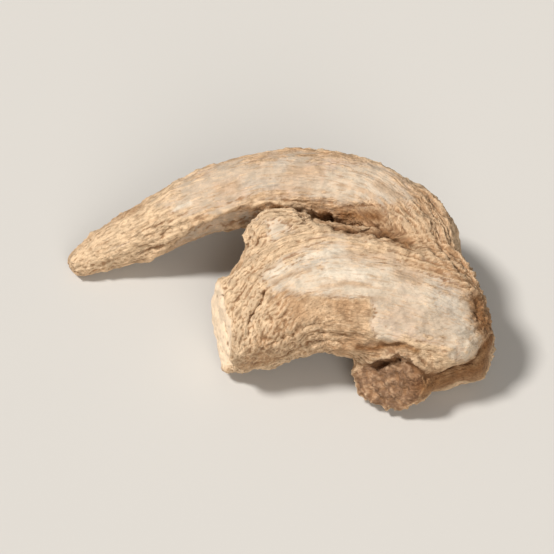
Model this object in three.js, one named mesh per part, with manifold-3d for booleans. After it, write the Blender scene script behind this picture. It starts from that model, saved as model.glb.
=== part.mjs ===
// A dried ginger root: one hand of the rhizome, broken off the clump, lying on a flat surface.
// Millimetres, +Z up. The origin is on the surface, at the middle of the root's footprint.
// The long finger runs along the back and points to -X, the broad body lies in front of it,
// and the shoulder at +X joins the two. The root grew as one piece, so it is one solid.

import * as THREE from "three";
import { mergeVertices } from "three/addons/utils/BufferGeometryUtils.js";
import Module from "manifold-3d";

// Driving dimensions.
const fingerGirth = 14; // thickness of the long finger where it is fullest
const shoulderGirth = 15.4; // thickness of the shoulder, where finger and body meet
const bodyWidth = 25; // the body's greatest width, front to back
const bodyDepth = 15.5; // the body's greatest thickness, top to bottom
const stubGirth = 12.6; // the two broken stubs and the heel, which the root lies on
const budGirth = 12; // the knob behind the body's free end; the smaller buds are shares of it
const restingFlat = 0.5; // how much the lowest lobes are flattened by lying on the surface

// Relief of the shrunken skin, as shares of the local girth.
const furrowDepth = 0.028;
const nodeRingHeight = 0.03;
const furrowWander = 1.3; // how far furrows stray sideways along a limb, in radians of their wave
const ringTilt = 0.8; // how far rings lean, in radians of theirs

// How finely a limb is drawn.
const stationSteps = 4; // sections between two stations
const domeSteps = 4; // sections that round off an end
const seamWeld = 0.12; // edges shorter than this, where limbs join, are closed up

// Each limb follows its stations, and is as wide and as deep there as shares of its girth say.
// "tilt" turns its sections about the spine, in degrees. "broken" is the face where the next
// finger snapped off its end: a point on that face and the way it looks.
const limbs = {
  longFinger: {
    width: fingerGirth,
    depth: fingerGirth,
    sides: 26,
    corner: 2.15,
    furrows: 7,
    rings: 9,
    stations: [
      { at: [-36.2, 9.6, 2.3], wide: 0.38, deep: 0.34 },
      { at: [-32.2, 11.2, 3.9], wide: 0.5, deep: 0.5 },
      { at: [-26.0, 12.7, 6.2], wide: 0.66, deep: 0.66 },
      { at: [-16.6, 15.4, 10.3], wide: 0.78, deep: 0.78 },
      { at: [-8.8, 17.0, 12.4], wide: 0.87, deep: 0.85 },
      { at: [-0.9, 17.6, 13.8], wide: 0.92, deep: 0.92 },
      { at: [6.9, 17.4, 14.4], wide: 0.95, deep: 0.96 },
      { at: [14.0, 15.2, 14.3], wide: 1.0, deep: 0.98 },
      { at: [20.0, 11.2, 13.8], wide: 1.0, deep: 0.98 },
      { at: [23.6, 5.8, 13.0], wide: 0.9, deep: 0.9 },
    ],
  },
  shoulder: {
    width: shoulderGirth,
    depth: shoulderGirth,
    sides: 26,
    corner: 2.3,
    furrows: 9,
    rings: 5,
    stations: [
      { at: [20.2, 12.2, 13.2], wide: 0.84, deep: 0.84 },
      { at: [23.2, 8.8, 13.4], wide: 0.9, deep: 0.9 },
      { at: [25.2, 3.4, 13.2], wide: 0.96, deep: 0.96 },
      { at: [28.0, -5.0, 12.4], wide: 1.0, deep: 1.0 },
      { at: [30.1, -10.4, 11.5], wide: 0.94, deep: 0.94 },
      { at: [30.8, -12.2, 11.0], wide: 0.8, deep: 0.82 },
    ],
  },
  broadBody: {
    width: bodyWidth,
    depth: bodyDepth,
    sides: 34,
    corner: 2.45,
    furrows: 9,
    rings: 7,
    tilt: -14,
    broken: { at: [-10.2, -11.0, 8.6], facing: [-0.955, -0.24, 0.12] },
    stations: [
      { at: [30.0, -11.0, 11.2], wide: 0.7, deep: 0.84 },
      { at: [26.4, -9.6, 11.9], wide: 0.86, deep: 0.94 },
      { at: [20.6, -7.4, 12.6], wide: 0.92, deep: 0.98 },
      { at: [13.0, -5.8, 12.8], wide: 0.94, deep: 1.0 },
      { at: [6.6, -5.2, 12.4], wide: 0.94, deep: 0.98 },
      { at: [0.6, -6.8, 11.4], wide: 0.88, deep: 0.94 },
      { at: [-4.6, -9.3, 10.0], wide: 0.74, deep: 0.88 },
      { at: [-10.2, -11.5, 8.8], wide: 0.6, deep: 0.82 },
      { at: [-16.0, -13.2, 8.0], wide: 0.52, deep: 0.76 },
    ],
  },
  budKnob: {
    width: budGirth,
    depth: budGirth,
    sides: 20,
    corner: 2.2,
    furrows: 5,
    rings: 3,
    stations: [
      { at: [3.4, -5.0, 11.0], wide: 1.5, deep: 1.1 },
      { at: [1.4, 0.6, 13.0], wide: 1.22, deep: 1.02 },
      { at: [0.2, 4.8, 14.2], wide: 1.0, deep: 0.92 },
    ],
  },
  sideKnob: {
    width: budGirth,
    depth: budGirth,
    sides: 18,
    corner: 2.2,
    furrows: 5,
    rings: 2,
    stations: [
      { at: [8.4, -4.6, 11.0], wide: 1.2, deep: 0.96 },
      { at: [7.2, 0.2, 12.6], wide: 1.06, deep: 0.92 },
      { at: [6.6, 4.0, 12.8], wide: 0.84, deep: 0.8 },
    ],
  },
  frontHeel: {
    width: stubGirth,
    depth: stubGirth,
    sides: 20,
    corner: 2.2,
    furrows: 5,
    rings: 3,
    stations: [
      { at: [20.0, -14.0, 7.0], wide: 0.8, deep: 0.8 },
      { at: [27.6, -15.6, 6.2], wide: 0.98, deep: 0.96 },
      { at: [32.6, -13.8, 6.4], wide: 0.94, deep: 0.94 },
    ],
  },
  brokenStub: {
    width: stubGirth,
    depth: stubGirth,
    sides: 22,
    corner: 2.3,
    furrows: 6,
    rings: 2,
    broken: { at: [19.2, -21.0, 6.6], facing: [-0.46, -0.74, 0.5] },
    stations: [
      { at: [27.0, -12.4, 9.0], wide: 1.0, deep: 0.86 },
      { at: [22.6, -17.0, 7.4], wide: 1.02, deep: 0.76 },
      { at: [18.9, -20.6, 6.6], wide: 1.06, deep: 0.72 },
      { at: [15.4, -24.0, 5.8], wide: 1.0, deep: 0.66 },
    ],
  },
  backStub: {
    width: stubGirth,
    depth: stubGirth,
    sides: 22,
    corner: 2.3,
    furrows: 6,
    rings: 3,
    broken: { at: [25.4, 15.6, 6.6], facing: [0.34, 0.92, 0.1] },
    stations: [
      { at: [19.4, 5.0, 10.6], wide: 1.0, deep: 0.96 },
      { at: [23.0, 10.4, 7.2], wide: 0.98, deep: 0.98 },
      { at: [25.0, 14.6, 5.9], wide: 0.94, deep: 0.94 },
      { at: [27.0, 19.6, 5.6], wide: 0.9, deep: 0.9 },
    ],
  },
  backBud: {
    width: budGirth,
    depth: budGirth,
    sides: 16,
    corner: 2.1,
    furrows: 4,
    rings: 2,
    stations: [
      { at: [-2.6, 18.0, 11.6], wide: 0.9, deep: 0.84 },
      { at: [-4.2, 21.8, 10.6], wide: 0.6, deep: 0.54 },
      { at: [-5.2, 23.4, 10.6], wide: 0.36, deep: 0.34 },
    ],
  },
  underBud: {
    width: budGirth,
    depth: budGirth,
    sides: 16,
    corner: 2.1,
    furrows: 4,
    rings: 2,
    stations: [
      { at: [5.0, -3.6, 9.4], wide: 1.3, deep: 1.2 },
      { at: [2.4, -4.4, 5.8], wide: 0.78, deep: 0.72 },
      { at: [1.2, -4.8, 4.4], wide: 0.5, deep: 0.46 },
    ],
  },
};

const wasm = await Module();
wasm.setup();

function solidOf(geometry) {
  for (const name of ["normal", "uv"]) {
    geometry.deleteAttribute(name);
  }
  const merged = mergeVertices(geometry);
  return new wasm.Manifold(
    new wasm.Mesh({
      numProp: 3,
      vertProperties: merged.attributes.position.array,
      triVerts: new Uint32Array(merged.index.array),
    })
  );
}

function geometryOf(solid) {
  const mesh = solid.getMesh();
  return new THREE.BufferGeometry()
    .setAttribute("position", new THREE.BufferAttribute(mesh.vertProperties, mesh.numProp))
    .setIndex(new THREE.BufferAttribute(mesh.triVerts, 1));
}

// How far the skin stands out at a place on a limb, as a share of its radius there:
// furrows run along the limb and wander a little, and node rings run round it.
function relief({ furrows, rings }, along, angle) {
  const wander = furrowWander * Math.sin(5 * along + furrows);
  const lengthwise =
    Math.cos(furrows * angle + wander) + 0.5 * Math.cos((2 * furrows + 3) * angle - 2 * wander);
  const ring = Math.cos(2 * Math.PI * rings * along + ringTilt * Math.sin(angle + rings));
  return 1 + furrowDepth * lengthwise + nodeRingHeight * Math.max(ring, 0) ** 3;
}

// A closed limb: rounded sections along a smooth spine, with a dome at each end.
function limbGeometry(limb) {
  const { stations, width, depth, sides, corner, tilt = 0 } = limb;
  const spine = new THREE.CatmullRomCurve3(stations.map(({ at }) => new THREE.Vector3(...at)));
  const girths = new THREE.CatmullRomCurve3(
    stations.map(({ wide, deep }) => new THREE.Vector3((width * wide) / 2, (depth * deep) / 2, 0))
  );

  // The places of the sections: where on the spine, how far past its end, and how much smaller.
  const places = [];
  const dome = (step) => (Math.PI / 2) * (step / domeSteps);
  for (let step = domeSteps - 1; step > 0; step--) {
    places.push({ along: 0, past: -Math.sin(dome(step)), size: Math.cos(dome(step)) });
  }
  const sections = (stations.length - 1) * stationSteps;
  for (let section = 0; section <= sections; section++) {
    places.push({ along: section / sections, past: 0, size: 1 });
  }
  for (let step = 1; step < domeSteps; step++) {
    places.push({ along: 1, past: Math.sin(dome(step)), size: Math.cos(dome(step)) });
  }

  const up = new THREE.Vector3(0, 0, 1);
  const frameAt = (along) => {
    const ahead = spine.getTangent(along);
    const side = new THREE.Vector3().crossVectors(up, ahead).normalize();
    side.applyAxisAngle(ahead, THREE.MathUtils.degToRad(tilt));
    const top = new THREE.Vector3().crossVectors(ahead, side);
    const { x: halfWidth, y: halfDepth } = girths.getPoint(along);
    return { ahead, side, top, halfWidth, halfDepth, middle: spine.getPoint(along) };
  };

  const points = [];
  const poleAt = (along, direction) => {
    const { middle, ahead, halfWidth, halfDepth } = frameAt(along);
    const reach = (direction * (halfWidth + halfDepth)) / 2;
    points.push(...middle.addScaledVector(ahead, reach).toArray());
  };

  poleAt(0, -1);
  for (const { along, past, size } of places) {
    const { middle, ahead, side, top, halfWidth, halfDepth } = frameAt(along);
    middle.addScaledVector(ahead, (past * (halfWidth + halfDepth)) / 2);
    for (let s = 0; s < sides; s++) {
      const angle = (2 * Math.PI * s) / sides;
      const [cos, sin] = [Math.cos(angle), Math.sin(angle)];
      const rounded = (Math.abs(cos) ** corner + Math.abs(sin) ** corner) ** (-1 / corner);
      const reach = size * rounded * relief(limb, along, angle);
      const point = middle
        .clone()
        .addScaledVector(side, reach * halfWidth * cos)
        .addScaledVector(top, reach * halfDepth * sin);
      points.push(...point.toArray());
    }
  }
  poleAt(1, 1);

  const faces = [];
  const lastPole = points.length / 3 - 1;
  const vertex = (section, s) => 1 + section * sides + (s % sides);
  for (let s = 0; s < sides; s++) {
    faces.push(0, vertex(0, s + 1), vertex(0, s));
    for (let section = 0; section < places.length - 1; section++) {
      const [a, b] = [vertex(section, s), vertex(section, s + 1)];
      const [c, d] = [vertex(section + 1, s + 1), vertex(section + 1, s)];
      faces.push(a, b, c, a, c, d);
    }
    faces.push(lastPole, vertex(places.length - 1, s), vertex(places.length - 1, s + 1));
  }
  return new THREE.BufferGeometry()
    .setAttribute("position", new THREE.Float32BufferAttribute(points, 3))
    .setIndex(faces);
}

// A block whose face passes through a point and looks along a normal, and which fills the far side.
function blockBeyond({ at, facing }) {
  const size = 10 * Math.max(fingerGirth, shoulderGirth, bodyWidth);
  const outward = new THREE.Vector3(...facing).normalize();
  const turn = new THREE.Quaternion().setFromUnitVectors(new THREE.Vector3(0, 0, 1), outward);
  const block = new THREE.BoxGeometry(size, size, size)
    .translate(0, 0, size / 2)
    .applyQuaternion(turn)
    .translate(...at);
  return solidOf(block);
}

// A limb as a solid, ending at its broken face where it has one.
function limbSolid(limb) {
  const whole = solidOf(limbGeometry(limb));
  return limb.broken ? whole.subtract(blockBeyond(limb.broken)) : whole;
}

function rootSolid() {
  return Object.values(limbs)
    .map(limbSolid)
    .reduce((joined, limb) => joined.add(limb));
}

// Closes up the slivers that joining leaves along the seams: the ends of every very short edge
// become one point, and the faces that this flattens go.
function withoutSlivers(solid) {
  const geometry = geometryOf(solid);
  const points = geometry.attributes.position;
  const corners = geometry.index.array;
  const keptBy = Array.from({ length: points.count }, (_, i) => i);
  const kept = (i) => (keptBy[i] === i ? i : kept(keptBy[i]));
  const [from, to] = [new THREE.Vector3(), new THREE.Vector3()];
  for (let i = 0; i < corners.length; i++) {
    const [a, b] = [corners[i], corners[i % 3 === 2 ? i - 2 : i + 1]];
    if (from.fromBufferAttribute(points, a).distanceTo(to.fromBufferAttribute(points, b)) < seamWeld) {
      keptBy[kept(b)] = kept(a);
    }
  }
  const faces = new Map();
  for (let i = 0; i < corners.length; i += 3) {
    const face = [corners[i], corners[i + 1], corners[i + 2]].map(kept);
    const name = [...face].sort((a, b) => a - b).join();
    if (new Set(face).size < 3) {
      continue;
    }
    if (!faces.delete(name)) {
      faces.set(name, face);
    }
  }
  return solidOf(geometry.setIndex([...faces.values()].flat()));
}

// Flattens the lowest lobes where the root lies, and moves the origin there.
function laidDown(solid) {
  const lowest = geometryOf(solid);
  lowest.computeBoundingBox();
  const surface = lowest.boundingBox.min.z + restingFlat;
  const flattened = geometryOf(
    withoutSlivers(solid.subtract(blockBeyond({ at: [0, 0, surface], facing: [0, 0, -1] })))
  );
  flattened.computeBoundingBox();
  const middle = flattened.boundingBox.getCenter(new THREE.Vector3());
  return flattened.translate(-middle.x, -middle.y, -surface);
}

const driedSkin = new THREE.MeshStandardMaterial({ color: 0xcba77f, roughness: 0.9, metalness: 0 });

const gingerRoot = new THREE.Mesh(laidDown(rootSolid()), driedSkin);
gingerRoot.name = "ginger_root";

const root = new THREE.Group();
root.add(gingerRoot);

export default root;
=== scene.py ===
import math
import bpy
import numpy as np
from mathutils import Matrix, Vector, noise
from mathutils.bvhtree import BVHTree


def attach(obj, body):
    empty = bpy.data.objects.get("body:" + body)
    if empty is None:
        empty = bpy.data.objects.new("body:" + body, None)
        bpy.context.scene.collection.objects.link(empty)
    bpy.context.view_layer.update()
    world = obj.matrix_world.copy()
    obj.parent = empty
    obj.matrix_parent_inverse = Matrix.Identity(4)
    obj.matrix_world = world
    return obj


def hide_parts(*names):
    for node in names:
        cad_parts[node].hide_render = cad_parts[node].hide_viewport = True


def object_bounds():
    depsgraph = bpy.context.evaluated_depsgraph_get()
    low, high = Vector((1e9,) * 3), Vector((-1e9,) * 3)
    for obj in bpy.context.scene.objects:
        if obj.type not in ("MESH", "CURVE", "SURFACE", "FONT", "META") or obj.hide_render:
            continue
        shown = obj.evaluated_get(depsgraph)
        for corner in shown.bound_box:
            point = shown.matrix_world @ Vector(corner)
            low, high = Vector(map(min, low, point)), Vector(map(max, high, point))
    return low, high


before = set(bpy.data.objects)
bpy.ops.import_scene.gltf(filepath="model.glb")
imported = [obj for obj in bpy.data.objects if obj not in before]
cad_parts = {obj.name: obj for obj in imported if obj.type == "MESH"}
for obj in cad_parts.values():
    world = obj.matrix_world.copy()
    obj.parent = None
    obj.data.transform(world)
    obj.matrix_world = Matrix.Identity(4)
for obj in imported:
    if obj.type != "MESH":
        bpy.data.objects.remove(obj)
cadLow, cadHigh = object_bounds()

mm = 0.001
viewPitch = math.radians(50)  # the camera looks down this much
toEye = np.array([0.0, -math.cos(viewPitch), math.sin(viewPitch)])
pictureUp = np.array([0.0, math.sin(viewPitch), math.cos(viewPitch)])
print("ginger: frame loaded")

# Everything about the hand is in mm. A point of two numbers is in the plane of the view: mm to the
# right and mm up, as the camera sees it. A point of three numbers is in the frame.
hand = {
    "mergeWithin": 0.02,  # corners of the loose triangles that are this close become one
    "voxel": 0.62,  # size of the remesh that fuses the limbs
    "melt": 5,  # smoothing passes that take the facets off
    "lumps": [(13.0, 0.45), (5.5, 0.22), (2.6, 0.09)],  # size and height of the swellings
    "facets": (7.5, 0.55),  # size and depth of the shrunken hollows between sharp crests
    "furrows": [(11.0, 1.1, 0.19), (6.0, 0.6, 0.13)],  # length, width and depth
    "fibres": [(22.0, 0.9, 0.46), (14.0, 0.55, 0.28)],  # the same for the fibrous skin's ridges
    "welts": [(3.6, 1.3, 0.5), (1.9, 0.75, 0.46), (0.9, 0.5, 0.2)],  # the same for the corky skin's welts
    "pits": [(2.6, 0.6, 0.16)],  # the same for the few pits between them
    "crumbling": [(1.3, 0.9, 0.4)],  # the same for the deep pits where the skin is crumbling away
    "scratches": [(9.0, 0.5, 0.13)],  # the same for the fine lines on the bare flesh
    "crumbs": (0.85, 0.12),  # size and height of the crumbly grain
    "crinkle": (1.0, 0.07),  # size and height of the finest wrinkles
    "grit": (1.9, 0.16),  # size and height of the rough waves under them
    "rings": (5.4, 0.16),  # distance between the leaf scars round a limb, and their height
    "peel": 0.2,  # how much lower the bare flesh lies than the skin round it
    "flake": 0.18,  # how far the flake of skin that is left stands proud
    "pads": 0.45,  # below this height the hand stays as it is, so that it rests flat
    "padsFade": 1.6,  # the height above that over which the carving gets its full depth
    "headroom": (0.4, 0.7),  # bumps from this far under the frame's top up are squeezed into this much
}

# Places that are pulled out: where, which way and how far, and how wide round it
pulls = {
    "endCornerBack": {"at": (-11, -5.3, 13.6), "by": (-0.3, -0.2, -0.2), "reach": 2.6},
    "endCornerFront": {"at": (-10, -16.6, 5.4), "by": (1.2, 0.2, 0.2), "reach": 3.8},
    "endCornerLow": {"at": (-8.6, -18.6, 4.8), "by": (0.7, 0.9, 0.5), "reach": 4.2},
    "frontBulge": {"at": (-1, -15.9, 4.2), "by": (0, -0.8, -0.6), "reach": 3.5},
    "frontDip": {"at": (8.1, -15.8, 6.6), "by": (0, 0.6, 0.7), "reach": 4},
    "heelFront": {"at": (30.8, -20.8, 4.2), "by": (-0.3, 1.7, 0.7), "reach": 6.5},
    "heelRight": {"at": (38, -16, 6.8), "by": (-1.2, 0.9, 0.5), "reach": 5.5},
    "rightWall": {"at": (37.6, -10.5, 12.5), "by": (-0.8, 0, 0), "reach": 5.5},
    "shoulderLow": {"at": (36.8, -7.5, 13.2), "by": (-1.1, -0.2, -0.2), "reach": 6},
    "shoulderWaist": {"at": (34.6, -1.2, 14.6), "by": (-1.9, -0.6, -0.6), "reach": 9},
    "endLedge": {"at": (-7.5, -2.2, 14.8), "by": (0.6, -2.0, -1.8), "reach": 4.4},
    "endRim": {"at": (-10.6, -9, 13), "by": (-0.4, 0, 0.3), "reach": 3.5},
    "fingerArris": {"at": (-10, 11.6, 14.5), "by": (0, -0.5, 0.7), "reach": 4.5},
    "fingerArrisRight": {"at": (-2, 12.6, 16.5), "by": (0, -0.5, 0.7), "reach": 4.5},
    "fingerArrisLeft": {"at": (-18, 10.5, 11), "by": (0, -0.4, 0.5), "reach": 4},
}

# The lines that the skin's furrows follow, one for each limb
limbs = {
    "longFinger": {"girth": 13, "line": [
        (-39, 8, 1.5), (-32, 11, 3.5), (-26, 12.4, 5.9), (-16.5, 15, 10), (-8.7, 16.6, 12), (0, 17.2, 13.5),
        (14, 14.9, 14), (20, 10.8, 13.4), (25.3, 3, 12.8), (28.2, -5.4, 12), (31, -12.5, 10.6)]},
    "broadBody": {"girth": 19, "line": [
        (32, -10, 10.8), (21, -6.8, 12), (9, -5, 12.4), (1, -7, 11.4), (-5, -12, 9), (-8.5, -19, 6)]},
    "heel": {"girth": 12, "line": [(18, -14, 6.6), (27.7, -16, 5.8), (34, -13.5, 6.2)]},
    "frontStub": {"girth": 11, "line": [(28, -11, 9.5), (22.7, -17.4, 7), (18.4, -22, 6)]},
    "backStub": {"girth": 11, "line": [(19.5, 4.6, 10.2), (23, 10, 6.8), (27, 19, 5.2)]},
    "backBud": {"girth": 9, "line": [(-2.5, 17, 11.4), (-4.1, 21.4, 10.2), (-5.2, 24, 10.2)]},
    "underBud": {"girth": 9, "line": [(4, -4, 9), (2.5, -4.8, 5.4), (1.2, -5.2, 3)]},
}
limbBlend = {"sharpness": 26, "leastShare": 0.03}  # how sharply one limb's furrows give way to the next's

# Broken ends: the limb, a point of the face, the way it faces, its reach, how rough it is, and how brown
brokenEnds = {
    "bodyEnd": {"limb": "broadBody", "at": (-10.6, -9.5, 8.8), "facing": (-0.955, -0.24, 0.12),
                "reach": 10, "rough": 0.12, "jagged": 0.4, "brown": 0.0},
    "stubEnd": {"limb": "frontStub", "at": (19.3, -21.3, 6.2), "facing": (-0.46, -0.74, 0.5),
                "reach": 8.2, "rough": 0.5, "jagged": 0.5, "brown": 1.0},
    "backStubEnd": {"limb": "backStub", "at": (25.5, 15.2, 6.2), "facing": (0.34, 0.92, 0.1),
                    "reach": 9.2, "rough": 0.28, "jagged": 0.6, "brown": 0.7},
}
breakage = {
    "border": 2.5,  # mm over which a face ends at its reach
    "chipped": (3.2, 0.6),  # how far from the face's plane the chips begin, and how near they are in full
    "skinless": (1.3, 0.6),  # the same for the skin that is gone
    "squarely": (0.62, 0.92),  # from and to which cosine a surface counts as part of the face
    "ofLimb": (0.25, 0.6),  # the same for its share in the broken limb
    "arcs": (2.6, 0.3),  # how close the torn fibres' arcs lie round the middle, and their height
}

# Ridges and creases that are drawn on the side that the camera sees: height, half width and line
strokes = {
    "fingerArris": (1.1, 0.7, [(-24, 9), (-19.5, 12.5), (-14.5, 15.5), (-9.5, 18), (-4, 19), (0.5, 19),
                               (5, 17.3)]),
    "fingerFlank": (-0.4, 1.3, [(-20, 10.6), (-17, 12.4), (-12.5, 14.4), (-8.5, 15.8), (-4.5, 16.7)]),
    "fingerRidgeLow": (0.5, 0.4, [(-23.4, 11), (-19.5, 13.2), (-15.1, 16.1)]),
    "fingerRidgeHigh": (0.4, 0.35, [(-22, 14.6), (-18.3, 15.7), (-15.6, 16.8)]),
    "fingerGrooveHigh": (-0.45, 0.3, [(-25.1, 13.9), (-22, 15), (-19.5, 16.3)]),
    "fingerGrooveMiddle": (-0.4, 0.3, [(-24.6, 12), (-21.5, 13.4), (-18, 14.9)]),
    "fingerGrooveLow": (-0.55, 0.3, [(-24.2, 10.2), (-21.3, 11.7), (-18.3, 13.4)]),
    "fingerGrooveUnder": (-0.5, 0.35, [(-28.5, 7.6), (-25, 8.4), (-21.4, 10.3)]),
    "fingerTopHollow": (-0.25, 1.6, [(-19, 18.5), (-13, 20.5), (-6, 22.5), (2, 22.8), (10, 22), (17, 20.5)]),
    "fingerHook": (0.25, 0.5, [(-17.5, 21.5), (-19, 21), (-19.3, 19.6), (-18, 18.6)]),
    "bodyCrease": (-1.9, 0.6, [(6.5, 17), (9.3, 16), (10.4, 14.8), (13.3, 14.1), (15.3, 14.6),
                               (16.7, 13.8), (18.3, 13.5), (21, 12.4), (23.2, 10.8)]),
    "creasePitRight": (-1.0, 0.7, [(17, 13.9), (19, 13.2)]),
    "creaseShelf": (-0.5, 0.35, [(10.2, 17.4), (11.5, 18), (14, 18.5), (17, 18.8), (19, 18.8)]),
    "knobSeam": (-0.8, 0.4, [(-3, 17), (-1, 17.9), (1.5, 18), (5, 17.2)]),
    "knobFold": (-0.7, 0.45, [(-2.6, 13.4), (-4, 11.4), (-5.2, 9), (-7, 7)]),
    "knobSideFold": (-0.45, 0.4, [(-4.6, 13.5), (-5.6, 11), (-6.4, 9.2)]),
    "knobRidge": (0.4, 0.5, [(3.8, 16.3), (6, 15), (8.4, 12)]),
    "creaseLip": (0.4, 0.7, [(7, 14.3), (11, 12.6), (15.5, 12), (20, 10.8)]),
    "shoulderFibreHigh": (0.45, 0.45, [(23.5, 19), (26.5, 13.5), (30.5, 7.5), (34.3, 2.8)]),
    "shoulderFibreLow": (0.35, 0.45, [(21, 17.5), (24, 12.5), (27, 9), (31, 4.5)]),
    "shoulderFibreBack": (0.35, 0.4, [(26.5, 21.5), (30, 15.5), (33, 9.5), (35.7, 3)]),
    "shoulderGroove": (-0.8, 0.45, [(26.3, 14.7), (29.5, 10), (32.8, 5), (34.8, 0), (35.3, -3)]),
    "shoulderBackGroove": (-0.5, 0.45, [(28, 21.5), (30.7, 17), (32.3, 13), (34, 9)]),
    "rimArcLow": (-0.45, 0.3, [(-6, -9.8), (0.5, -8.3), (3, -6.8), (6, -5.4), (8.5, -5.3), (11.5, -6),
                               (14, -7)]),
    "rimArcMiddle": (-0.4, 0.3, [(-4.5, -7.9), (0, -6.9), (3, -5.4), (6, -3.9), (10, -3.9), (14, -5.2)]),
    "rimArcHigh": (-0.28, 0.35, [(-3, -6), (0, -5.3), (3, -3.7), (6, -2.4), (10.5, -2)]),
    "foldGroove": (-0.7, 0.45, [(16.5, -5.8), (19, -6.1), (21.5, -6.1), (24, -6.3)]),
    "foldLip": (1.1, 0.38, [(13.6, -8.1), (15.2, -8.3), (17.9, -8), (20.4, -7), (22, -7.6), (23.5, -8.2),
                            (24.8, -9.6), (26.3, -10.4)]),
    "lobe": (0.7, 1.7, [(26, -8.6), (29, -8.2), (32, -6.8), (34.6, -5)]),
    "underLip": (-1.5, 0.6, [(13.6, -9.5), (16, -9.6), (18.5, -9.3), (20.4, -8.5), (22.3, -9.1), (23.7, -10),
                             (25.2, -11.1), (26.8, -11.6), (28.5, -11.3), (30.5, -11), (32.3, -10.2),
                             (33.9, -9.1), (35.5, -7.7), (36.7, -6.3), (37.6, -4.6)]),
    "mainCrack": (-1.2, 0.36, [(-1.7, 3.6), (-2.7, 2), (-3.6, 0.7), (-4.4, -0.8), (-5.3, -2.6)]),
    "endGroove": (-0.6, 0.35, [(-9.6, 4), (-9.5, 0.5), (-9.2, -4.5), (-8.2, -9)]),
    "pitHigh": (-0.5, 0.4, [(-9.7, 2.8), (-9.2, 2)]),
    "pitLong": (-0.45, 0.3, [(-7.2, 1), (-7.9, -2.6)]),
    "pitLow": (-0.5, 0.35, [(0.6, -4.4), (1.4, -5.4)]),
    "cornerPit": (-0.5, 0.9, [(34.6, 1.2), (35.6, -2)]),
}
drawing = {
    "depth": 0.9,  # how much of its height a line has on the whole; the swell noise is added to it
    "fadeOver": 0.15,  # share of a line's length over which each end fades
    "leastAtEnds": 0.2,  # and what is left of it there
    "ridgeEdge": 1.7,  # how abruptly a ridge ends at its half width
    "creaseEdge": 1.3,  # the same for a crease
    "seenEnough": 0.2,  # a crease that is seen more than this is cut towards the camera's side too
}

# Where the skin has come off and the flesh shows, on the side that the camera sees, and how pale it is
bareFlesh = {
    "fingerBand": {"pale": 0.3, "fade": 2.6, "outline": [
        (-20.5, 19), (-16.5, 24), (-10, 27), (4, 28), (18, 26.5), (23.5, 22), (24, 19), (15, 18.5), (5.5, 20),
        (-4.5, 20), (-10, 18), (-18.5, 17)]},
    "fingerPale": {"pale": 0.5, "fade": 2.4, "outline": [
        (8, 25.5), (14, 26), (20, 24.4), (22, 20.6), (16, 19.6), (8, 20.6)]},
    "fingerFlank": {"pale": 0, "fade": 0.8, "outline": [
        (-8.8, 17.8), (-2.5, 18.2), (-3.7, 15.9), (-9.8, 14.3), (-15.9, 12.2), (-20.5, 10), (-17.1, 13.7),
        (-14.3, 15.6)]},
    "bodyTop": {"pale": 1, "fade": 2.2, "outline": [
        (-3, 6), (0, 8.4), (4.5, 10.5), (11, 12.3), (18.5, 10), (27.5, 6), (32.5, 2.5), (35, -4.5),
        (32.5, -7.5), (26, -5), (18, -5), (12, -4), (10, 1), (-1, 3.6)]},
    "knobSpot": {"pale": 0.9, "fade": 1.0, "outline": [
        (-2.7, 15.5), (0, 16.2), (1.9, 15.4), (2.2, 13.5), (0.5, 11.8), (-1.7, 12.4)]},
    "cornerSpot": {"pale": 0.8, "fade": 1.0, "outline": [
        (29.6, -5), (33, -3.4), (35.4, -4), (35.6, -6.4), (33, -8.8), (30.2, -9)]},
}
fleshEdge = (0.2, 0.8)  # between these shares the skin's torn edge lies
strandShare = 0.7  # how far the strands of skin reach over that edge

# Stains and painted shade, the brown ones on the skin and the others on the bare flesh: half width and line.
# The brown ones are partly brown skin and partly painted shade along the crease, under the lip's fold and on
# the heel.
stainsAndShade = {
    # partly brown skin and partly painted shade along the crease, under the lip's fold and on the heel
    "brown": [
        (1.8, [(34.6, 1.5), (36.2, -2.5)]), (1.4, [(12, 16.8), (18, 16.5)]),
        (1.2, [(8, 16.8), (11.5, 15.2), (15, 14.4), (19, 13.6), (22.5, 11.6)]),
        (2.6, [(25, -13), (30, -13), (36, -10), (38, -5.5)]),
        (0.6, [(14, -6.4), (18, -6.3), (21, -5.9), (24, -6.9)])],
    "dull": [(3.2, [(18.5, 0.5), (23, -1), (28, -2.5)])],
    "warm": [
        (0.5, [(-0.8, 4.8), (2.6, 6.2), (5.7, 7.2)]), (0.3, [(15.5, 7.9), (20.6, 7.5)]),
        (1.3, [(21, 6.5), (24.4, 5.5)]), (1.6, [(13, 10.5), (18, 9.6), (24, 8)]),
        (0.5, [(7.5, 4.2), (12, 4.6), (16, 4.2)]), (1.2, [(-10.4, 21.8), (-7.6, 22.4)]),
        (1.2, [(2.5, 24.6), (7.5, 25)]), (0.8, [(17.5, 22.5), (21.5, 20.5)])],
    "grey": [
        # the middle grey line, along the finger's top edge, is painted shadow; the other two are grey tints
        (1.6, [(29.5, 0), (31.5, -3.2)]), (1.3, [(-5, 22.4), (-0.8, 22.8)]), (0.7, [(3.6, 7.6), (8, 8.6)])],
    "white": [
        (0.7, [(-1, 6.5), (3, 8.3), (8, 9.8), (14.5, 10.8)]), (1.6, [(9, 7), (15, 6)]),
        (0.5, [(-18.6, 18.2), (-15.8, 19.2)])],
}

# A flake of skin that is left on the body's front, standing proud of the flesh with crisp edges
leftSkin = {"fade": 0.25, "raggedness": 0.4, "outline": [
    (1, 2), (6, 2.4), (11, 2.1), (16, 2.1), (16.6, 0), (16, -1.8), (16.4, -4.5), (14.5, -7), (6, -8),
    (-2, -6)]}

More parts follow.
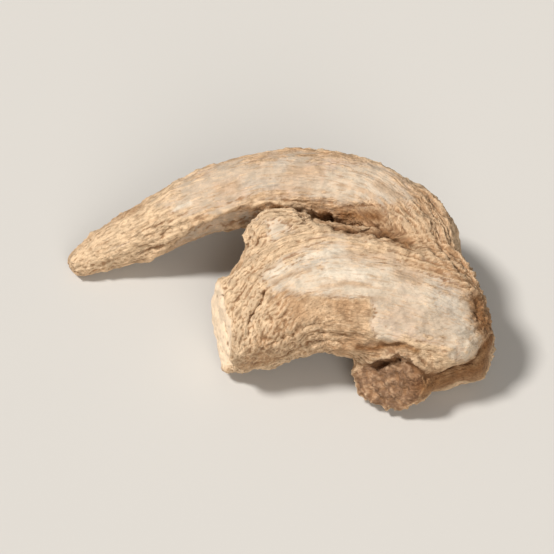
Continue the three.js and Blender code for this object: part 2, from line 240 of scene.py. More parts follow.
# Kinds of skin on that side: fibrous, corky and pitted, crumbling away in deep crumbs, smoother than
# elsewhere, and creamy rather than tan. Each has the width of its border and its outlines.
skinPlaces = {
    "fibrous": {"fade": 1.4, "outlines": {
        "shoulderFace": [(15, 17.5), (22, 18.5), (25, 21.5), (28.5, 20), (33, 12), (38, 4), (38, -5),
                         (34.5, -3), (33, 2.5), (26, 7), (18.5, 11), (15, 14)],
        "fingerUnder": [(-38, 8.5), (-25, 10), (-12, 17), (-3, 18.8), (5, 17), (9, 14), (-3, 12), (-16, 10),
                        (-28, 5), (-38, 4)]}},
    "corky": {"fade": 1.4, "outlines": {
        "bodyLeft": [(-12, 6), (-6, 8.5), (-6, 14), (-3, 14), (-2, 9), (-1, 3), (3, 0), (4, -5), (-3, -9),
                     (-9, -11), (-12.5, -5)],
        "creaseEdge": [(3, 17), (8, 17.5), (12, 16.5), (20, 15), (24.5, 11), (20, 9.5), (14, 12), (8, 14)]}},
    "crumbling": {"fade": 0.9, "outlines": {
        "creaseLips": [(2, 17.8), (7, 18.2), (12, 17), (20, 15.6), (24, 11.6), (21, 10), (14, 11.8),
                       (9, 13.5), (4.6, 16)],
        "fingerEnd": [(-38.5, 9), (-36, 11), (-34, 9.5), (-35, 7), (-38, 6)],
        "rightCorner": [(33.5, 3.5), (36, 2), (37, -3.5), (35, -3.5), (34, 0)]}},
    "smooth": {"fade": 1.8, "outlines": {
        "fingerLeft": [(-36, 9.6), (-31, 13.8), (-25, 19), (-19.5, 22.4), (-17, 19), (-21.5, 16),
                       (-25, 13.4), (-26, 9.4), (-33, 7.4)],
        "bodyFront": [(4, 2), (11, 2), (16, 2), (16, -3), (8, -3), (3, -1)],
        "bodyLowerLeft": [(-8, -6), (-3, -5.4), (2, -5), (1, -9), (-5, -11), (-8.6, -10.4)],
        "heelSide": [(24, -13), (30, -13.6), (37, -11), (38, -7), (35, -9.6), (28, -12)]}},
    "creamy": {"fade": 1.6, "outlines": {
        "fingerLeft": [(-39, 9), (-33, 13), (-27, 17), (-20, 23), (-13, 26), (-13, 17.5), (-22, 11.5),
                       (-30, 8), (-39, 5)],
        "bodyLeft": [(-12.5, 6), (-7, 8), (-6, 14), (-3, 19), (3, 19), (8, 14.5), (16, 12), (22, 9), (20, 6),
                     (5, 10), (-2, 3), (1, 0), (-1, -3), (-6, -7), (-9, -11), (-13, -5)],
        "lowerRight": [(18, -4), (24, -5), (30, -7), (35, -4), (37, -8), (30, -10.5), (24, -9), (18, -8)]}},
}

# Out of the camera's sight the kinds lie in patches: their share, and the noise at which they begin
# and are full
hiddenSkin = {
    "bare": (0.75, 0.16, 0.4),
    "fibrous": (0.7, -0.05, 0.2),
    "corky": (0.6, 0.0, 0.25),
    "creamy": (1, -0.1, 0.3),
}
hiddenPale = 0.4  # how pale the bare flesh is there
turnedFrom = (0.05, 0.4)  # cosines away from the camera between which bare patches set in

# Sums of soft noise: the height, size, seed and octaves of each wave
noises = {
    "raggedAcross": [(1.0, 3.2, 11, 2), (0.4, 0.9, 12, 1)],
    "raggedUp": [(0.8, 3.0, 13, 2), (0.3, 0.9, 14, 1)],
    "barePatches": [(1.0, 9.0, 21, 2), (0.3, 2.6, 22, 1)],
    "fibrousPatches": [(1.0, 8.0, 24, 2)],
    "creamyPatches": [(1.0, 11.0, 26, 2)],
    "furrowPatches": [(1.0, 5.0, 71, 1)],
    "wanderAcross": [(0.4, 2.2, 31, 1)],
    "wanderUp": [(0.4, 2.2, 32, 1)],
    "swell": [(0.7, 1.6, 33, 1)],
    "warpAlong": [(0.8, 4.0, 41, 1), (0.3, 1.5, 44, 1)],
    "warpAcross": [(0.8, 4.0, 42, 1), (0.3, 1.5, 45, 1)],
    "warpUp": [(0.8, 4.0, 43, 1), (0.3, 1.5, 46, 1)],
    "chips": [(1.0, 3.4, 61, 1), (0.45, 1.5, 62, 1)],
    "worn": [(1.0, 1.6, 150, 4)],
    "arcBend": [(3.0, 3.0, 151, 1)],
}
seedShift = 7.31  # how many waves lie between the places that two seeds start from


def applyModifier(piece, kind, **settings):
    modifier = piece.modifiers.new(kind.title(), kind)
    for name, value in settings.items():
        setattr(modifier, name, value)
    bpy.ops.object.modifier_apply(modifier=modifier.name)


def fusedHand():
    # a copy of the CAD solid, its loose triangles merged, fused into even quads and softened
    piece = bpy.data.objects.new("gingerHand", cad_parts["ginger_root"].data.copy())
    bpy.context.collection.objects.link(piece)
    bpy.ops.object.select_all(action="DESELECT")
    piece.select_set(True)
    bpy.context.view_layer.objects.active = piece
    bpy.ops.object.mode_set(mode="EDIT")
    bpy.ops.mesh.select_all(action="SELECT")
    bpy.ops.mesh.remove_doubles(threshold=hand["mergeWithin"] * mm)
    bpy.ops.object.mode_set(mode="OBJECT")
    applyModifier(piece, "REMESH", mode="VOXEL", voxel_size=hand["voxel"] * mm)
    applyModifier(piece, "SMOOTH", factor=0.5, iterations=hand["melt"])
    applyModifier(piece, "SUBSURF", levels=1, render_levels=1)
    return piece


def placesOf(mesh):
    flat = np.empty(len(mesh.vertices) * 3)
    mesh.vertices.foreach_get("co", flat)
    return flat.reshape(-1, 3) / mm


def normalsOf(mesh):
    flat = np.empty(len(mesh.vertices) * 3)
    mesh.vertex_normals.foreach_get("vector", flat)
    return flat.reshape(-1, 3)


def movePlaces(mesh, places):
    mesh.vertices.foreach_set("co", (places * mm).ravel())
    mesh.update()


def edgesOf(mesh):
    flat = np.empty(len(mesh.edges) * 2, dtype=np.int64)
    mesh.edges.foreach_get("vertices", flat)
    return flat.reshape(-1, 2)


def blurred(field, edges, passes):
    # each pass takes a value halfway to the mean of its neighbours
    here, there = edges.T
    count = np.bincount(here, minlength=len(field)) + np.bincount(there, minlength=len(field))
    for _ in range(passes):
        around = np.bincount(here, field[there], len(field)) + np.bincount(there, field[here], len(field))
        field = 0.5 * field + 0.5 * around / count
    return field


def sunkBelow(places, normals, edges, passes):
    # how far each vertex lies below the mean of those round it; more passes take in a wider round
    smoothed = np.column_stack([blurred(places[:, k], edges, passes) for k in range(3)])
    return ((smoothed - places) * normals).sum(1)


def ramp(value, low, high):
    # a soft step from 0 at the first bound to 1 at the second, which may be the smaller one
    share = np.clip((value - low) / (high - low), 0, 1)
    return share * share * (3 - 2 * share)


def grain(points, size, seed, octaves=1):
    # soft noise from -1 to 1, its waves about size mm long
    moved = (points / size + seed * seedShift).tolist()
    if octaves == 1:
        return np.fromiter((noise.noise(p) for p in moved), float, len(moved))
    return np.fromiter((noise.fractal(p, 1.0, 2.0, octaves) for p in moved), float, len(moved))


def summed(name, points):
    return sum(height * grain(points, size, seed, octaves) for height, size, seed, octaves in noises[name])


def pits(points, seed):
    # 1 at the middle of about half of the cells that the points fall in, and 0 away from it
    pitFloor, pitRim = 0.1, 0.42  # distances from the middle, in cells
    drawApart = 9.7  # moves the places at which neighbouring cells draw their chance well apart
    cells = [noise.voronoi(p) for p in (points + seed * seedShift).tolist()]
    gap = np.array([gaps[0] for gaps, _ in cells])
    chance = np.array([noise.cell(centres[0] * drawApart) for _, centres in cells])
    return (1 - ramp(gap, pitFloor, pitRim)) * (chance > 0)


def curvedLine(points, steps=14):
    # a smooth line through the points, as a list of close places
    points = np.array(points, float)
    ends = np.vstack([2 * points[0] - points[1], points, 2 * points[-1] - points[-2]])
    places = []
    for k in range(1, len(ends) - 2):
        a, b, c, d = ends[k - 1:k + 3]
        for t in np.arange(steps) / steps:
            places.append(0.5 * (2 * b + (c - a) * t + (2 * a - 5 * b + 4 * c - d) * t ** 2
                                 + (3 * b - a - 3 * c + d) * t ** 3))
    return np.array(places + [points[-1]])


def nearest(points, line):
    # for each point, how far the line is and how far along the line that is, both in mm
    steps = np.linalg.norm(np.diff(line, axis=0), axis=1)
    lengths = np.concatenate([[0], np.cumsum(steps)])
    best = np.full(len(points), np.inf)
    along = np.zeros(len(points))
    for k, step in enumerate(steps):
        reach = line[k + 1] - line[k]
        t = np.clip((points - line[k]) @ reach / step ** 2, 0, 1)
        gap = np.linalg.norm(points - line[k] - t[:, None] * reach, axis=1)
        closer = gap < best
        best[closer] = gap[closer]
        along[closer] = lengths[k] + t[closer] * step
    return best, along, lengths


def limbFields(places):
    # for each limb, the vertices that belong to it, their share in it, and their places along and across it
    gaps, fields = [], []
    for limb in limbs.values():
        line = curvedLine(limb["line"])
        gap, along, lengths = nearest(places, line)
        gaps.append(gap / limb["girth"])
        middle = np.column_stack([np.interp(along, lengths, line[:, k]) for k in range(3)])
        ahead = np.gradient(line, axis=0)
        ahead /= np.linalg.norm(ahead, axis=1)[:, None]
        heading = np.column_stack([np.interp(along, lengths, ahead[:, k]) for k in range(3)])
        side = np.cross(heading, (0, 0, 1))
        side /= np.linalg.norm(side, axis=1)[:, None]
        top = np.cross(side, heading)
        off = places - middle
        fields.append(np.column_stack([along, (off * side).sum(1), (off * top).sum(1)]))
    closeness = np.exp(-limbBlend["sharpness"] * np.array(gaps) ** 2)
    shares = closeness / closeness.sum(0)
    return [(np.nonzero(share > limbBlend["leastShare"])[0], share, field)
            for share, field in zip(shares, fields)]


def overLimbs(fields, pattern):
    # a pattern laid out along each limb, blended where limbs meet
    total = np.zeros(len(fields[0][1]))
    for number, (members, share, field) in enumerate(fields):
        total[members] += share[members] * pattern(field[members], number)
    return total


def seenShare(piece, places, normals, edges):
    # 1 where the camera sees the surface squarely, 0 where it is turned away or hidden
    lift, rayLength = 0.35 * mm, 0.2  # a ray starts just off the skin and runs past the whole hand
    softening = 4  # blur passes over the shadow's edge
    squarely = 0.3  # the cosine from which a surface counts in full
    tree = BVHTree.FromObject(piece, bpy.context.evaluated_depsgraph_get())
    facing = normals @ toEye
    clear = np.zeros(len(places))
    eye = Vector(toEye)
    starts = (places * mm + normals * lift).tolist()
    for k in np.nonzero(facing > 0)[0]:
        clear[k] = tree.ray_cast(starts[k], eye, rayLength)[0] is None
    return blurred(clear, edges, softening) * ramp(facing, 0.0, squarely)


def insideShare(points, outline, fade):
    # 1 well inside the outline and 0 well outside it, with a border of about fade mm
    corners = np.array(outline, float)
    inside = np.zeros(len(points), bool)
    tiny = 1e-9  # keeps a level side from dividing by zero
    for a, b in zip(corners, np.roll(corners, -1, axis=0)):
        spans = (a[1] > points[:, 1]) != (b[1] > points[:, 1])
        crossing = a[0] + (points[:, 1] - a[1]) * (b[0] - a[0]) / (b[1] - a[1] + tiny)
        inside ^= spans & (points[:, 0] < crossing)
    gap = nearest(points, np.vstack([corners, corners[:1]]))[0]
    return ramp(np.where(inside, gap, -gap), -fade, fade)


def drawnStrokes(picture, seen):
    total = np.zeros(len(picture))
    flat = np.column_stack([picture, 0 * picture[:, 0]])
    wandered = picture + np.column_stack([summed("wanderAcross", flat), summed("wanderUp", flat)])
    uneven = drawing["depth"] + summed("swell", flat)  # a drawn line is deeper here and shallower there
    for height, width, points in strokes.values():
        gap, along, lengths = nearest(wandered, curvedLine(points))
        fade = drawing["fadeOver"] * lengths[-1]
        ends = ramp(along, 0, fade) * ramp(lengths[-1] - along, 0, fade)
        edge = drawing["ridgeEdge"] if height > 0 else drawing["creaseEdge"]
        total += height * np.exp(-(gap / width) ** edge) * np.maximum(ends, drawing["leastAtEnds"]) * uneven
    return total * seen


def jaggedEnds(places):
    # pushes the broken faces and their rims in and out, so that they don't look sawn
    push = np.zeros_like(places)
    faces = {}
    for name, end in brokenEnds.items():
        facing = np.array(end["facing"]) / np.linalg.norm(end["facing"])
        off = places - np.array(end["at"])
        height = off @ facing
        radius = np.linalg.norm(off - height[:, None] * facing, axis=1)
        within = ramp(end["reach"] - radius, 0, breakage["border"])
        near = ramp(np.abs(height), *breakage["chipped"]) * within
        push += facing * (end["jagged"] * near * summed("chips", places))[:, None]
        faces[name] = {"share": ramp(np.abs(height), *breakage["skinless"]) * within,
                       "facing": facing, "radius": radius}
    return push, faces


def woundShares(faces, normals, fields):
    # how much of each broken face every vertex is part of
    limbShares = {name: share for name, (_, share, _) in zip(limbs, fields)}
    wounds = {}
    for name, face in faces.items():
        squarely = ramp(normals @ face["facing"], *breakage["squarely"])
        ofLimb = ramp(limbShares[brokenEnds[name]["limb"]], *breakage["ofLimb"])
        wounds[name] = face["share"] * squarely * ofLimb
    return wounds


def pulled(places):
    # the soft grab that each entry of pulls describes
    move = np.zeros_like(places)
    for pull in pulls.values():
        gap = np.linalg.norm(places - np.array(pull["at"]), axis=1)
        move += np.array(pull["by"]) * ramp(-gap, -pull["reach"], 0)[:, None]
    return move


def swollen(places, normals, free, seen, drawn):
    # the swellings, the shrunken facets, and the drawn ridges and creases
    lumps = sum(height * grain(places, size, 3 + k) for k, (size, height) in enumerate(hand["lumps"]))
    facetSize, facetDepth = hand["facets"]
    facetLevel, seenLoss = 0.2, 0.5  # the camera's side has its own drawn forms, so its facets are shallower
    lumps -= facetDepth * (np.abs(grain(places, facetSize, 8)) - facetLevel) * (1 - seenLoss * seen)
    towardsEye = (drawn < 0) & (seen > drawing["seenEnough"])
    outward = normals + np.where(towardsEye, 1.0, 0.0)[:, None] * toEye
    outward /= np.linalg.norm(outward, axis=1)[:, None]
    return places + (normals * (free * lumps)[:, None] + outward * (free * drawn)[:, None])


def hiddenPatches(kind, where, patches):
    share, low, high = hiddenSkin[kind]
    return share * where * ramp(patches, low, high)


def strands(field, number):
    # long threads of skin that reach over the bare flesh
    timesLonger, width = 7, 0.8
    return grain(field / (timesLonger, 1, 1), width, 160 + number, 3)


def kindsOfSkin(places, normals, picture, ragged, seen, broken, fields):
    # how much of each kind every vertex has
    rough = picture + ragged
    shares = [insideShare(rough, patch["outline"], patch["fade"]) for patch in bareFlesh.values()]
    pale = sum(patch["pale"] * share for patch, share in zip(bareFlesh.values(), shares)).clip(0, 1)
    bareSeen = ramp(np.max(shares, axis=0) + strandShare * overLimbs(fields, strands), *fleshEdge)
    lessRough = picture + leftSkin["raggedness"] * ragged
    flake = insideShare(lessRough, leftSkin["outline"], leftSkin["fade"]) * seen
    marked = {}
    for kind, area in skinPlaces.items():
        inside = [insideShare(rough, outline, area["fade"]) for outline in area["outlines"].values()]
        marked[kind] = np.max(inside, axis=0)
    turnedAway = ramp(-(normals @ toEye), *turnedFrom)
    hidden, whole = 1 - seen, 1 - broken
    fibrousPatches = summed("fibrousPatches", places)
    barePatches = hiddenPatches("bare", turnedAway, summed("barePatches", places))
    bare = (seen * bareSeen * (1 - flake) + barePatches) * whole
    return {
        "bare": bare,
        "skin": (1 - bare) * whole,
        "flake": flake,
        "fibrous": (seen * marked["fibrous"] + hiddenPatches("fibrous", hidden, fibrousPatches)) * whole,
        "corky": (seen * marked["corky"] + hiddenPatches("corky", hidden, -fibrousPatches)) * whole,
        "creamy": seen * marked["creamy"] + hiddenPatches("creamy", hidden, summed("creamyPatches", places)),
        "crumbling": marked["crumbling"] * seen,
        "smooth": marked["smooth"] * seen,
        "pale": seen * pale + hidden * hiddenPale,
    }


def formsShown(kinds, patchy):
    # how much of each fine form every vertex shows, by the kind of skin there
    skin, bare, corky = kinds["skin"], kinds["bare"], kinds["corky"]
    fibrous, smooth = kinds["fibrous"], kinds["smooth"]
    return {
        "furrows": skin * (0.35 + 0.65 * patchy) * (1 - 0.6 * smooth) + 0.25 * bare,
        "fibres": (fibrous * skin + 0.3 * skin) * (1 - 0.5 * smooth),
        "welts": skin * (0.2 + 0.8 * corky) * (1 - 0.7 * smooth),
        "pits": skin * (0.2 + 0.8 * corky) * (1 - smooth),
        "crumbling": kinds["crumbling"],
        "scratches": bare,
        "crumbs": 0.9 * corky + 0.45 * fibrous + 0.25 * skin,
        "rings": (0.6 * skin + 0.2 * bare) * patchy,
        "crinkle": 0.6 + 0.6 * skin + 0.8 * corky,
        "grit": 0.45 + 0.8 * corky + 0.5 * fibrous,
    }


def stretched(field, length, width, size, seed):
    # noise whose waves are drawn out along a limb
    return grain(field / (length / width, 1, 1), size, seed)


lineSpacing = 1.9  # how many widths lie between two grooves or two crests


def creases(length, width, seed):
    # narrow grooves that run along the limb
    size, grooveEdge = width * lineSpacing, 0.22
    return lambda field, number: ramp(
        np.abs(stretched(field, length, width, size, seed + number)), 0.0, grooveEdge) - 1


def ridges(length, width, seed):
    # narrow crests that run along the limb
    size, crestEdge = width * lineSpacing, 2.2
    return lambda field, number: (
        1 - np.abs(stretched(field, length, width, size, seed + number)) * crestEdge).clip(0) ** 2


def welts(length, width, seed):
    # rounded welts that run along the limb, with sharp folds between them
    foldDepth = 0.2
    return lambda field, number: np.abs(stretched(field, length, width, width, seed + number)) - foldDepth


def hollows(length, width, seed):
    # scattered pits that are drawn out along the limb
    return lambda field, number: -pits(field / (length, width, width), seed + number)


def leafScars(field, number):
    # rings round the limb, a little wavy
    wave, waveSize, halfWidth = 0.9, 6.0, 0.45
    distance = hand["rings"][0]
    turn = field[:, 0] + wave * grain(field, waveSize, 120 + number)
    gap = np.abs((turn / distance) % 1 - 0.5) * distance
    return np.exp(-(gap / halfWidth) ** 2)


def fineForms(places, kinds, faces, wounds, fields):
    # the height of the furrows, fibres, welts, pits and grain at every vertex
    slightBend = 0.4  # fibres bend this much as far as the other forms do
    patchEdge = 0.35  # the noise from minus this to this is the border of a furrowed patch
    seedStep = 20  # between the sizes of one form
    crumbEdge, speckEdge = 2.6, 0.8  # how sharply the crumbs and the specks between them stand out
    warp = np.column_stack([summed(name, places) for name in ("warpAlong", "warpAcross", "warpUp")])
    warped = [(members, share, field + warp) for members, share, field in fields]
    straighter = [(members, share, field + slightBend * warp) for members, share, field in fields]
    patchy = ramp(summed("furrowPatches", places), -patchEdge, patchEdge)
    shown = formsShown(kinds, patchy)
    forms = {  # the limbs' places that each form follows, its pattern and its seed
        "furrows": (warped, creases, 50),
        "fibres": (straighter, ridges, 200),
        "welts": (warped, welts, 240),
        "pits": (warped, hollows, 90),
        "crumbling": (warped, hollows, 110),
        "scratches": (warped, ridges, 280),
    }
    fine = np.zeros(len(places))
    for name, (laidOut, pattern, seed) in forms.items():
        for k, (length, width, height) in enumerate(hand[name]):
            fine += height * overLimbs(laidOut, pattern(length, width, seed + seedStep * k)) * shown[name]
    crumbSize, crumbHeight = hand["crumbs"]
    crumbs = 1 - crumbEdge * np.abs(grain(places, crumbSize, 135))
    crumbs -= speckEdge * np.abs(grain(places, 0.5 * crumbSize, 136))
    fine += crumbHeight * crumbs * shown["crumbs"]
    fine += hand["rings"][1] * overLimbs(fields, leafScars) * shown["rings"]
    for name, seed in (("crinkle", 130), ("grit", 140)):
        size, height = hand[name]
        fine += height * grain(places, size, seed, 3) * shown[name]
    fine += hand["flake"] * kinds["flake"] - hand["peel"] * kinds["bare"]
    arcsApart, arcHeight = breakage["arcs"]
    for name, face in faces.items():
        arcs = arcHeight * np.cos(face["radius"] * arcsApart + summed("arcBend", places))
        fine += brokenEnds[name]["rough"] * wounds[name] * (summed("worn", places) + arcs)
    return fine


def storeMask(mesh, name, values):
    layer = mesh.attributes.new(name, "FLOAT", "POINT")
    layer.data.foreach_set("value", np.clip(values, 0, 1).astype(np.float32))


# What the colours take from the form: painted shade in the furrows and crevices, and painted highlight on the
# crests
relief = {
    "fineBlur": 3,  # blur passes that furrows and crests stand out from
    "broadBlur": 34,  # and those for crevices
    "furrowShade": 0.072,  # the mm that count as a full furrow, crest and crevice: full painted shade in a furrow and a crevice, full painted highlight on a crest
    "crestHighlight": 0.06,
    "crevice": 0.55,
    "drawnDark": (0.8, 0.3, 1.3),  # how much painted shade a drawn crease gets, and from which depth and at which in full
    "brownLoss": 0.7,  # how much less painted highlight a brown broken end's crests get
    "finger": (0.25, 0.75),  # the finger's shares between which its own streaks take over
    "stainRagged": 0.3,  # how ragged a stain's edge is, next to the skin's
}


def carveSkin(piece):
    mesh = piece.data
    edges = edgesOf(mesh)
    places, normals = placesOf(mesh), normalsOf(mesh)
    free = ramp(places[:, 2], hand["pads"], hand["pads"] + hand["padsFade"])  # 0 on the resting flats
    seen = seenShare(piece, places, normals, edges)
    picture = np.column_stack([places[:, 0], places @ pictureUp])
    fields = limbFields(places)
    print("ginger: limbs laid out over", len(places), "vertices")

    push, faces = jaggedEnds(places)
    wounds = woundShares(faces, normals, fields)
    brown = np.max([brokenEnds[name]["brown"] * share for name, share in wounds.items()], axis=0)
    broken = np.max(list(wounds.values()), axis=0)
    drawn = drawnStrokes(picture, seen)
    places = swollen(places, normals, free, seen, drawn)
    places += (push + pulled(places)) * free[:, None]
    movePlaces(mesh, places)
    normals = normalsOf(mesh)
    print("ginger: large forms drawn")

    ragged = np.column_stack([summed("raggedAcross", places), summed("raggedUp", places)])
    kinds = kindsOfSkin(places, normals, picture, ragged, seen, broken, fields)
    print("ginger: bare, fibrous and corky skin marked")

    fine = fineForms(places, kinds, faces, wounds, fields)
    places = places + normals * (free * fine)[:, None]
    places[:, 2] = np.maximum(places[:, 2], 0)
    headroom, squeezed = hand["headroom"]
    over = (places[:, 2] - cadHigh[2] / mm + headroom).clip(0)
    places[:, 2] -= over - squeezed * np.tanh(over / squeezed)
    movePlaces(mesh, places)
    normals = normalsOf(mesh)
    print("ginger: furrows, fibres and pits carved")

    sunk = sunkBelow(places, normals, edges, relief["fineBlur"])
    sunkDeep = sunkBelow(places, normals, edges, relief["broadBlur"])
    (_, fingerShare, fingerPlace), (_, _, bodyPlace) = fields[:2]
    masks = {name: kinds[name] for name in ("bare", "pale", "creamy")}
    masks["brokenBrown"] = brown
    masks["brokenPale"] = broken - brown
    # painted shade: furrows and crevices are darkened by how far they lie below those round them, and drawn
    # creases by their depth
    masks["furrowShade"] = sunk.clip(0) / relief["furrowShade"]
    darkness, begins, full = relief["drawnDark"]
    masks["deep"] = sunkDeep.clip(0) / relief["crevice"] + darkness * ramp(-drawn, begins, full)
    # painted highlight: the crests are lightened by how far they stand above those round them
    masks["crestHighlight"] = (-sunk).clip(0) / relief["crestHighlight"] * (1 - relief["brownLoss"] * brown)
    masks["fingerShare"] = ramp(fingerShare, *relief["finger"])
    stained = picture + relief["stainRagged"] * ragged
    # the stains; the brown ones are partly painted shade, and the grey line along the finger's top edge is
    # painted shadow
    for name, lines in stainsAndShade.items():
        stain = [np.exp(-(nearest(stained, np.array(line, float))[0] / width) ** 2) for width, line in lines]
        masks[name + "Stain"] = np.max(stain, axis=0) * seen
    for name, values in masks.items():
        storeMask(mesh, name, values)
    for name, limbPlace in (("fingerPlace", fingerPlace), ("bodyPlace", bodyPlace)):
        layer = mesh.attributes.new(name, "FLOAT_VECTOR", "POINT")
        layer.data.foreach_set("vector", limbPlace.astype(np.float32).ravel())


def linked(tree, kind, inputs, **settings):
    # a node with its inputs filled: a socket is linked and anything else is set
    node = tree.nodes.new(kind)
    for name, value in settings.items():
        setattr(node, name, value)
    for key, value in inputs.items():
        if isinstance(value, bpy.types.NodeSocket):
            tree.links.new(value, node.inputs[key])
        else:
            node.inputs[key].default_value = value
    return node


def mixed(tree, share, first, second, blend="MIX"):
    inputs = {0: share, 6: first, 7: second}  # 6 and 7 are a Mix node's two colours
    return linked(tree, "ShaderNodeMix", inputs, data_type="RGBA", blend_type=blend).outputs[2]


def spread(tree, value, low, high, newLow, newHigh):
    inputs = {"Value": value, "From Min": low, "From Max": high, "To Min": newLow, "To Max": newHigh}
    return linked(tree, "ShaderNodeMapRange", inputs, interpolation_type="SMOOTHSTEP").outputs[0]


driedSkin = {
    "tan": (0.49, 0.30, 0.165, 1),
    "cream": (0.76, 0.56, 0.365, 1),
    "flesh": (0.69, 0.585, 0.46, 1),
    "fleshWhite": (0.76, 0.68, 0.56, 1),
    "fleshDull": (0.54, 0.42, 0.31, 1),
    "fleshWarm": (0.53, 0.375, 0.25, 1),
    "fleshPink": (0.60, 0.445, 0.345, 1),
    "fleshGrey": (0.54, 0.485, 0.415, 1),
    # multiplied in along the brown lines: partly brown skin, partly painted shade
    "brownAndShadeTint": (0.49, 0.36, 0.245, 1),
    "brokenFace": (0.25, 0.145, 0.085, 1),
    "brokenLight": (0.42, 0.265, 0.16, 1),
    "brokenCream": (0.90, 0.72, 0.53, 1),
    # painted shade: the browns that furrows and crevices are darkened to; the crevice brown also colours the
    # grain's dark hairlines and crumbs
    "furrowShade": (0.33, 0.185, 0.095, 1),
    "crevice": (0.20, 0.10, 0.045, 1),
    "roughness": 0.88,
    "specular": 0.25,
    "clouds": {"blotch": (150, 4), "mottle": (620, 5), "speck": (2600, 3)},  # waves in a metre, and detail
    "streaks": {"streak": (0.12, 1.1, 4), "hair": (0.3, 2.8, 3)},  # waves in a mm along and across, detail
    "crumb": (0.9, 2.1),  # crumbs in a mm along and across
    "crumbBend": (900, 2),  # the cloud that bends them
    # Layers of colour, the lowest first: pattern or mask, where it sets in and is full, share, colour
    "skinLayers": [
        ("streak", 0.5, 0.72, 0.6, "tan"), ("hair", 0.53, 0.68, 0.5, "crevice"),
        ("crumb", 0.45, 0.85, 0.4, "crevice")],
    "fleshLayers": [
        ("mottle", 0.48, 0.75, 0.5, "fleshWarm"), ("mottle", 0.45, 0.3, 0.5, "flesh"),
        ("streak", 0.5, 0.66, 0.75, "fleshWarm"), ("blotch", 0.53, 0.66, 0.6, "fleshPink"),
        ("blotch", 0.45, 0.34, 0.6, "fleshGrey"), ("whiteStain", 0, 1, 0.65, "fleshWhite"),
        # the grey stain is partly painted shadow along the finger's top edge
        ("warmStain", 0, 1, 0.8, "fleshWarm"), ("greyStain", 0, 1, 0.5, "fleshGrey"),
        ("dullStain", 0, 1, 0.6, "fleshDull"), ("hair", 0.54, 0.68, 0.5, "tan")],
    "cutLayers": [("mottle", 0.5, 0.7, 0.5, "cream")],
    "brokenLayers": [("mottle", 0.42, 0.62, 1, "brokenLight"), ("crumb", 0.4, 0.8, 0.6, "crevice")],
    # painted highlight: the crests are lightened towards cream
    "crestHighlightLayers": [("crestHighlight", 0.25, 0.9, 0.55, "cream")],
    # painted shade: the furrows and crevices are darkened
    "hollowShadeLayers": [("furrowShade", 0.2, 1.0, 0.82, "furrowShade"), ("deep", 0.2, 1.0, 0.85, "crevice")],
    "blotches": (0.35, 0.65, 0.6),  # where the cream blotches on the tan set in and are full, and their share
    "dust": (0.3, 0.7, 0.8, 1.15),  # from and to which mottle, and how dark and light it makes the colour
    "grain": [("hair", -0.8), ("crumb", -0.8), ("speck", 0.5)],  # what the bump adds to the mottle
    "bump": (0.95, 0.32),  # strength and height
    "bareBump": 0.55,  # what is left of it on the bare flesh and on the pale broken end
}


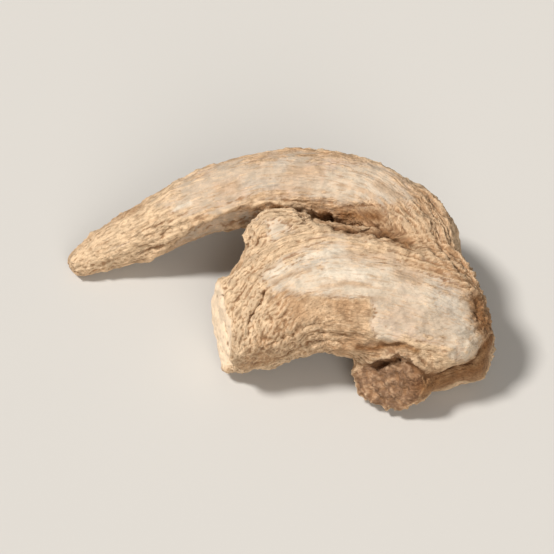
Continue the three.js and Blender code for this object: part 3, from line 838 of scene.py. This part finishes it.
def driedSkinMaterial():
    material = bpy.data.materials.new("driedGingerSkin")
    material.use_nodes = True
    tree = material.node_tree
    shader = tree.nodes["Principled BSDF"]
    where = tree.nodes.new("ShaderNodeTexCoord").outputs["Object"]

    def mask(name):
        return linked(tree, "ShaderNodeAttribute", {}, attribute_name=name).outputs["Fac"]

    def cloud(vector, scale, detail):
        inputs = {"Vector": vector, "Scale": scale, "Detail": detail, "Roughness": 0.6}
        return linked(tree, "ShaderNodeTexNoise", inputs).outputs[0]

    def grains(limbPlace):
        # patterns that run along a limb: streaks, hairs and crumbs
        def drawnOut(along, across):
            inputs = {0: limbPlace, 1: (along, across, across)}
            return linked(tree, "ShaderNodeVectorMath", inputs, operation="MULTIPLY").outputs[0]

        made = {name: cloud(drawnOut(along, across), 1, detail)
                for name, (along, across, detail) in driedSkin["streaks"].items()}
        inputs = {0: drawnOut(*driedSkin["crumb"]), 1: cloud(where, *driedSkin["crumbBend"])}
        bent = linked(tree, "ShaderNodeVectorMath", inputs, operation="ADD").outputs[0]
        made["crumb"] = linked(tree, "ShaderNodeTexVoronoi", {"Vector": bent, "Scale": 1}).outputs["Distance"]
        return made

    def layered(colour, layers):
        for name, low, high, share, tint in driedSkin[layers]:
            pattern = patterns[name] if name in patterns else mask(name)
            colour = mixed(tree, spread(tree, pattern, low, high, 0, share), colour, driedSkin[tint])
        return colour

    patterns = {name: cloud(where, *settings) for name, settings in driedSkin["clouds"].items()}
    body, finger = [grains(linked(tree, "ShaderNodeAttribute", {}, attribute_name=name).outputs["Vector"])
                    for name in ("bodyPlace", "fingerPlace")]
    for name in body:
        inputs = {0: mask("fingerShare"), 2: body[name], 3: finger[name]}
        patterns[name] = linked(tree, "ShaderNodeMix", inputs).outputs[0]

    low, high, share = driedSkin["blotches"]
    inputs = {0: spread(tree, patterns["blotch"], low, high, 0, share), 1: mask("creamy")}
    creaminess = linked(tree, "ShaderNodeMath", inputs, operation="ADD", use_clamp=True).outputs[0]
    skin = layered(mixed(tree, creaminess, driedSkin["tan"], driedSkin["cream"]), "skinLayers")
    flesh = layered(mixed(tree, mask("pale"), driedSkin["fleshDull"], driedSkin["flesh"]), "fleshLayers")
    colour = mixed(tree, mask("bare"), skin, flesh)
    colour = mixed(tree, mask("brokenPale"), colour, layered(driedSkin["brokenCream"], "cutLayers"))
    colour = mixed(tree, mask("brokenBrown"), colour, layered(driedSkin["brokenFace"], "brokenLayers"))
    # painted highlight on the crests
    colour = layered(colour, "crestHighlightLayers")
    # brown stains: partly brown skin, partly painted shade along the crease, under the lip's fold and on the
    # heel
    colour = mixed(tree, mask("brownStain"), colour, driedSkin["brownAndShadeTint"], "MULTIPLY")
    # painted shade in the furrows, crevices and drawn creases
    colour = layered(colour, "hollowShadeLayers")
    dust = spread(tree, patterns["mottle"], *driedSkin["dust"])
    grey = linked(tree, "ShaderNodeCombineColor", {0: dust, 1: dust, 2: dust}).outputs[0]
    tree.links.new(mixed(tree, 1.0, colour, grey, "MULTIPLY"), shader.inputs["Base Color"])
    shader.inputs["Roughness"].default_value = driedSkin["roughness"]
    shader.inputs["Specular IOR Level"].default_value = driedSkin["specular"]

    height = patterns["mottle"]
    for name, share in driedSkin["grain"]:
        inputs = {0: patterns[name], 1: share, 2: height}
        height = linked(tree, "ShaderNodeMath", inputs, operation="MULTIPLY_ADD").outputs[0]
    inputs = {0: mask("bare"), 1: mask("brokenPale")}
    even = linked(tree, "ShaderNodeMath", inputs, operation="MAXIMUM").outputs[0]
    inputs = {0: height, 1: spread(tree, even, 0, 1, 1, driedSkin["bareBump"])}
    height = linked(tree, "ShaderNodeMath", inputs, operation="MULTIPLY").outputs[0]
    strength, distance = driedSkin["bump"]
    inputs = {"Strength": strength, "Distance": distance * mm, "Height": height}
    tree.links.new(linked(tree, "ShaderNodeBump", inputs).outputs[0], shader.inputs["Normal"])
    return material


studio = {
    "floor": (0.6, 0.59, 0.57, 1),
    "floorRoughness": 0.9,
    "floorSize": 6,
    "roomLight": {"colour": (1, 0.975, 0.94, 1), "strength": 0.2},
    "backdrop": {"colour": (0.76, 0.715, 0.65, 1), "strength": 1},  # as bright as the lit floor
    "lamps": {  # the way to each, its strength and how wide it looks, in degrees
        "windowLight": {"towards": (-0.54, 0.04, 0.84), "strength": 3.15, "width": 12,
                        "colour": (1, 0.96, 0.91)},
        "fillLight": {"towards": (0.2, -0.84, 0.5), "strength": 1.4, "width": 38,
                      "colour": (1, 0.94, 0.86)},
    },
    "lens": 135,
    "distance": 0.372,
    "aim": (0, 0, 0.009),
}


def pointedBack(way):
    # the turn that makes a lamp or a camera look the other way from where it stands
    return (-Vector(way)).to_track_quat("-Z", "Y").to_euler()


def layFloor():
    bpy.ops.object.select_all(action="DESELECT")
    bpy.ops.mesh.primitive_plane_add(size=studio["floorSize"], location=(0, 0, 0))
    floor = bpy.context.object
    floor.name = "floor"
    pale = bpy.data.materials.new("paleFloor")
    pale.use_nodes = True
    shader = pale.node_tree.nodes["Principled BSDF"]
    shader.inputs["Base Color"].default_value = studio["floor"]
    shader.inputs["Roughness"].default_value = studio["floorRoughness"]
    floor.data.materials.append(pale)


def lightRoom():
    # soft light from the upper left and behind, some from the front, and a plain pale room
    for name, lamp in studio["lamps"].items():
        data = bpy.data.lights.new(name, "SUN")
        data.angle = math.radians(lamp["width"])
        data.energy = lamp["strength"]
        data.color = lamp["colour"]
        light = bpy.data.objects.new(name, data)
        bpy.context.collection.objects.link(light)
        light.location = lamp["towards"]
        light.rotation_euler = pointedBack(lamp["towards"])
    world = bpy.data.worlds.new("paleRoom")
    world.use_nodes = True
    tree = world.node_tree
    roomLight, backdrop = [
        linked(tree, "ShaderNodeBackground", {0: glow["colour"], 1: glow["strength"]}).outputs[0]
        for glow in (studio["roomLight"], studio["backdrop"])]
    seenByEye = tree.nodes.new("ShaderNodeLightPath").outputs["Is Camera Ray"]
    chosen = linked(tree, "ShaderNodeMixShader", {0: seenByEye, 1: roomLight, 2: backdrop}).outputs[0]
    tree.links.new(chosen, tree.nodes["World Output"].inputs[0])
    bpy.context.scene.world = world
    bpy.context.scene.view_settings.view_transform = "Standard"


def placeCamera():
    data = bpy.data.cameras.new("photoView")
    data.lens = studio["lens"]
    camera = bpy.data.objects.new("photoView", data)
    bpy.context.collection.objects.link(camera)
    camera.location = Vector(studio["aim"]) + Vector(toEye) * studio["distance"]
    camera.rotation_euler = pointedBack(toEye)
    bpy.context.scene.camera = camera


layFloor()
lightRoom()
placeCamera()
print("ginger: studio built")

gingerHand = fusedHand()
carveSkin(gingerHand)
gingerHand.data.materials.clear()
gingerHand.data.materials.append(driedSkinMaterial())
bpy.ops.object.shade_smooth()
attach(gingerHand, "root")
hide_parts("ginger_root")
print("ginger: hand finished with", len(gingerHand.data.polygons) * 2, "triangles")
